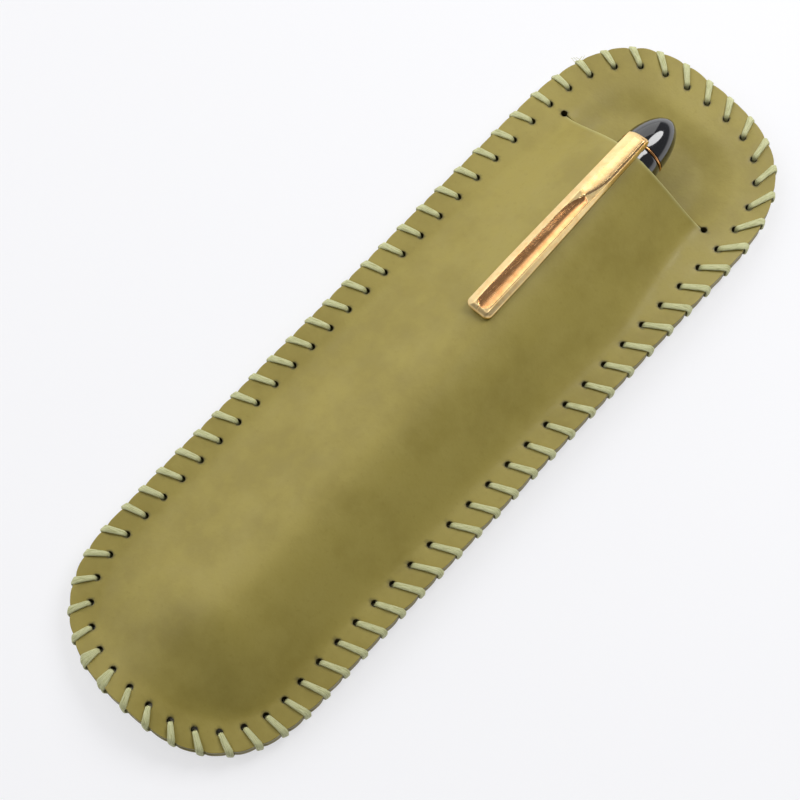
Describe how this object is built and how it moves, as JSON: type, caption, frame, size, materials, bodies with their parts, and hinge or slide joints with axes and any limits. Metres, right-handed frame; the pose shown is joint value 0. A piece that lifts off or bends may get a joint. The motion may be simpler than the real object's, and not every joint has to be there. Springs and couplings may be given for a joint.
{
  "type": "leather pen case",
  "caption": "Slim stitched leather sleeve with a slit mouth, holding a capped pen whose clip lies over the front.",
  "frame": {"origin": "on the rest plane, under the middle of the case", "axes": "+Y along the case toward its mouth, +Z out of the front, +X to the right seen from the front"},
  "size_m": [0.0536, 0.1696, 0.0194],
  "materials": {
    "olive_leather": "semi-matt, smooth, lightly waxed",
    "sage_thread": "flat waxed thread",
    "black_resin": "polished",
    "gold_plate": "polished gold plate, finely scratched",
    "nib_metal": "polished"
  },
  "bodies": {
    "case": {"back_panel": "olive_leather", "front_panel": "olive_leather", "stitching_thread": "sage_thread"},
    "pen": {"barrel": "black_resin", "grip_section": "black_resin", "feed": "black_resin", "nib": "nib_metal", "ink_converter": "black_resin"},
    "cap": {"cap_tube": "black_resin", "cap_finial": "black_resin", "clip_ring": "gold_plate", "inner_cap": "black_resin"},
    "clip": {"pocket_clip": "gold_plate"}
  },
  "joints": [
    {"name": "pen_slide", "type": "slide", "parent": "case", "child": "pen", "axis": [-0.0105, 0.999, 0.0439], "range_m": [0, 0.15]},
    {"name": "cap_pull", "type": "slide", "parent": "pen", "child": "cap", "axis": [-0.0105, 0.999, 0.0439], "range_m": [0, 0.045]},
    {"name": "clip_flex", "type": "hinge", "parent": "cap", "child": "clip", "pos_m": [-0.00135, 0.0611, 0.01523], "axis": [-0.9962, -0.0066, -0.0871], "range_deg": [0, 6], "stiffness_Nm_per_rad": 0.8}
  ]
}
